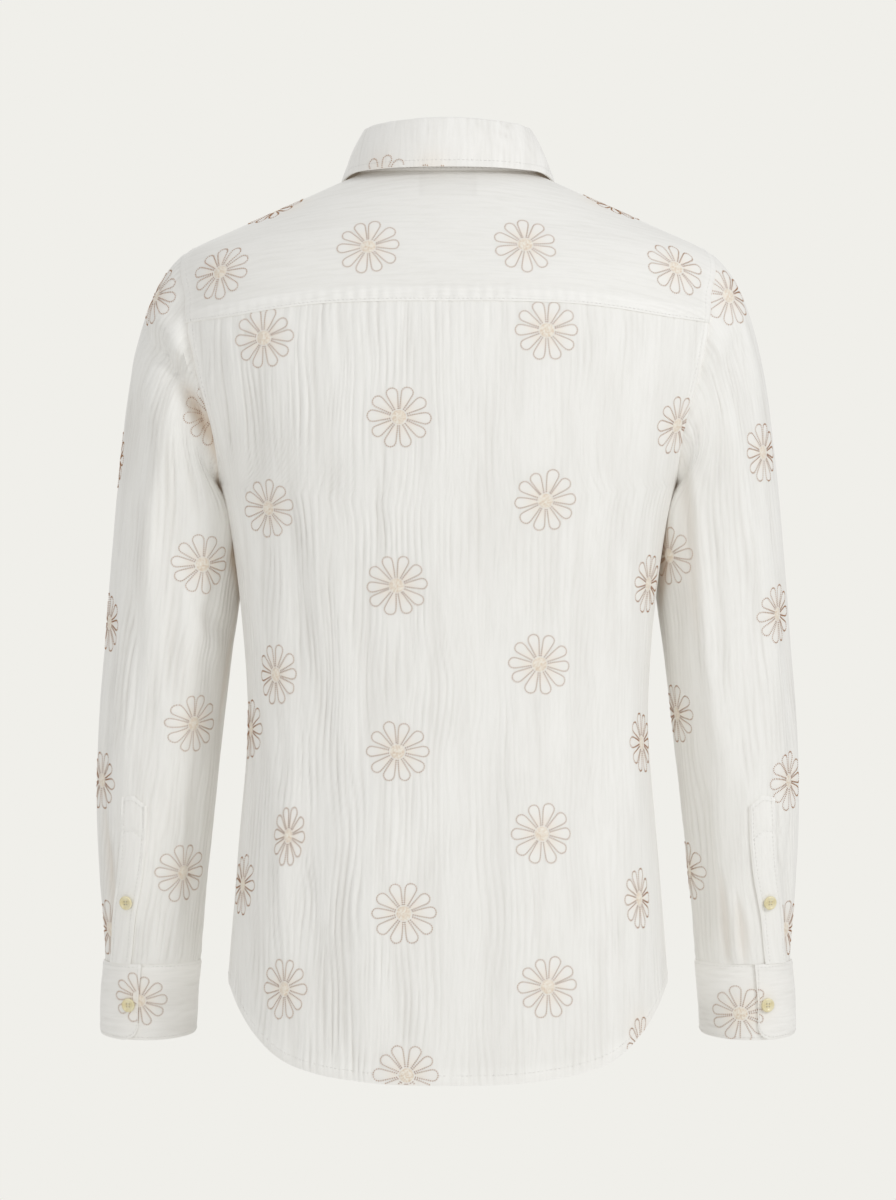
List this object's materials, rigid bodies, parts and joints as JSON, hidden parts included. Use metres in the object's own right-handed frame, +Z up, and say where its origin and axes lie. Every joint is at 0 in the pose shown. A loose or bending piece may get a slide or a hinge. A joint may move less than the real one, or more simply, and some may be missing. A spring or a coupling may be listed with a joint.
{
  "type": "embroidered shirt",
  "caption": "Long-sleeved white cotton shirt with collar, back yoke and buttoned cuffs, embroidered all over with open daisies, in the hollow form of wear.",
  "frame": {"origin": "middle of the neck, level with the high points of the two shoulders, where the wearer's shoulders carry the shirt", "axes": "+Z up, -Y the way the wearer faces, +X the wearer's left"},
  "size_m": [0.555, 0.2455, 0.7335],
  "materials": {
    "cotton": "matt crinkled double gauze, embroidered with daisies",
    "stiffened_cotton": "matt, two layers with interlining",
    "shell_button": "cream, glossy",
    "label_tape": "plain woven tape"
  },
  "bodies": {
    "root": {"back": "cotton", "yoke": "cotton", "front_left": "cotton", "front_right": "cotton", "button_band": "cotton", "buttonhole_band": "cotton", "sleeve_left": "cotton", "sleeve_right": "cotton", "sleeve_placket_left": "cotton", "sleeve_placket_right": "cotton", "slit_binding_left": "cotton", "slit_binding_right": "cotton", "collar_stand": "stiffened_cotton", "collar_leaf": "stiffened_cotton", "cuff_left": "stiffened_cotton", "cuff_right": "stiffened_cotton", "stand_button": "shell_button", "front_button_1": "shell_button", "front_button_2": "shell_button", "front_button_3": "shell_button", "front_button_4": "shell_button", "front_button_5": "shell_button", "front_button_6": "shell_button", "front_button_7": "shell_button", "placket_button_left": "shell_button", "placket_button_right": "shell_button", "cuff_button_left": "shell_button", "cuff_button_right": "shell_button", "neck_label": "label_tape"}
  },
  "joints": []
}
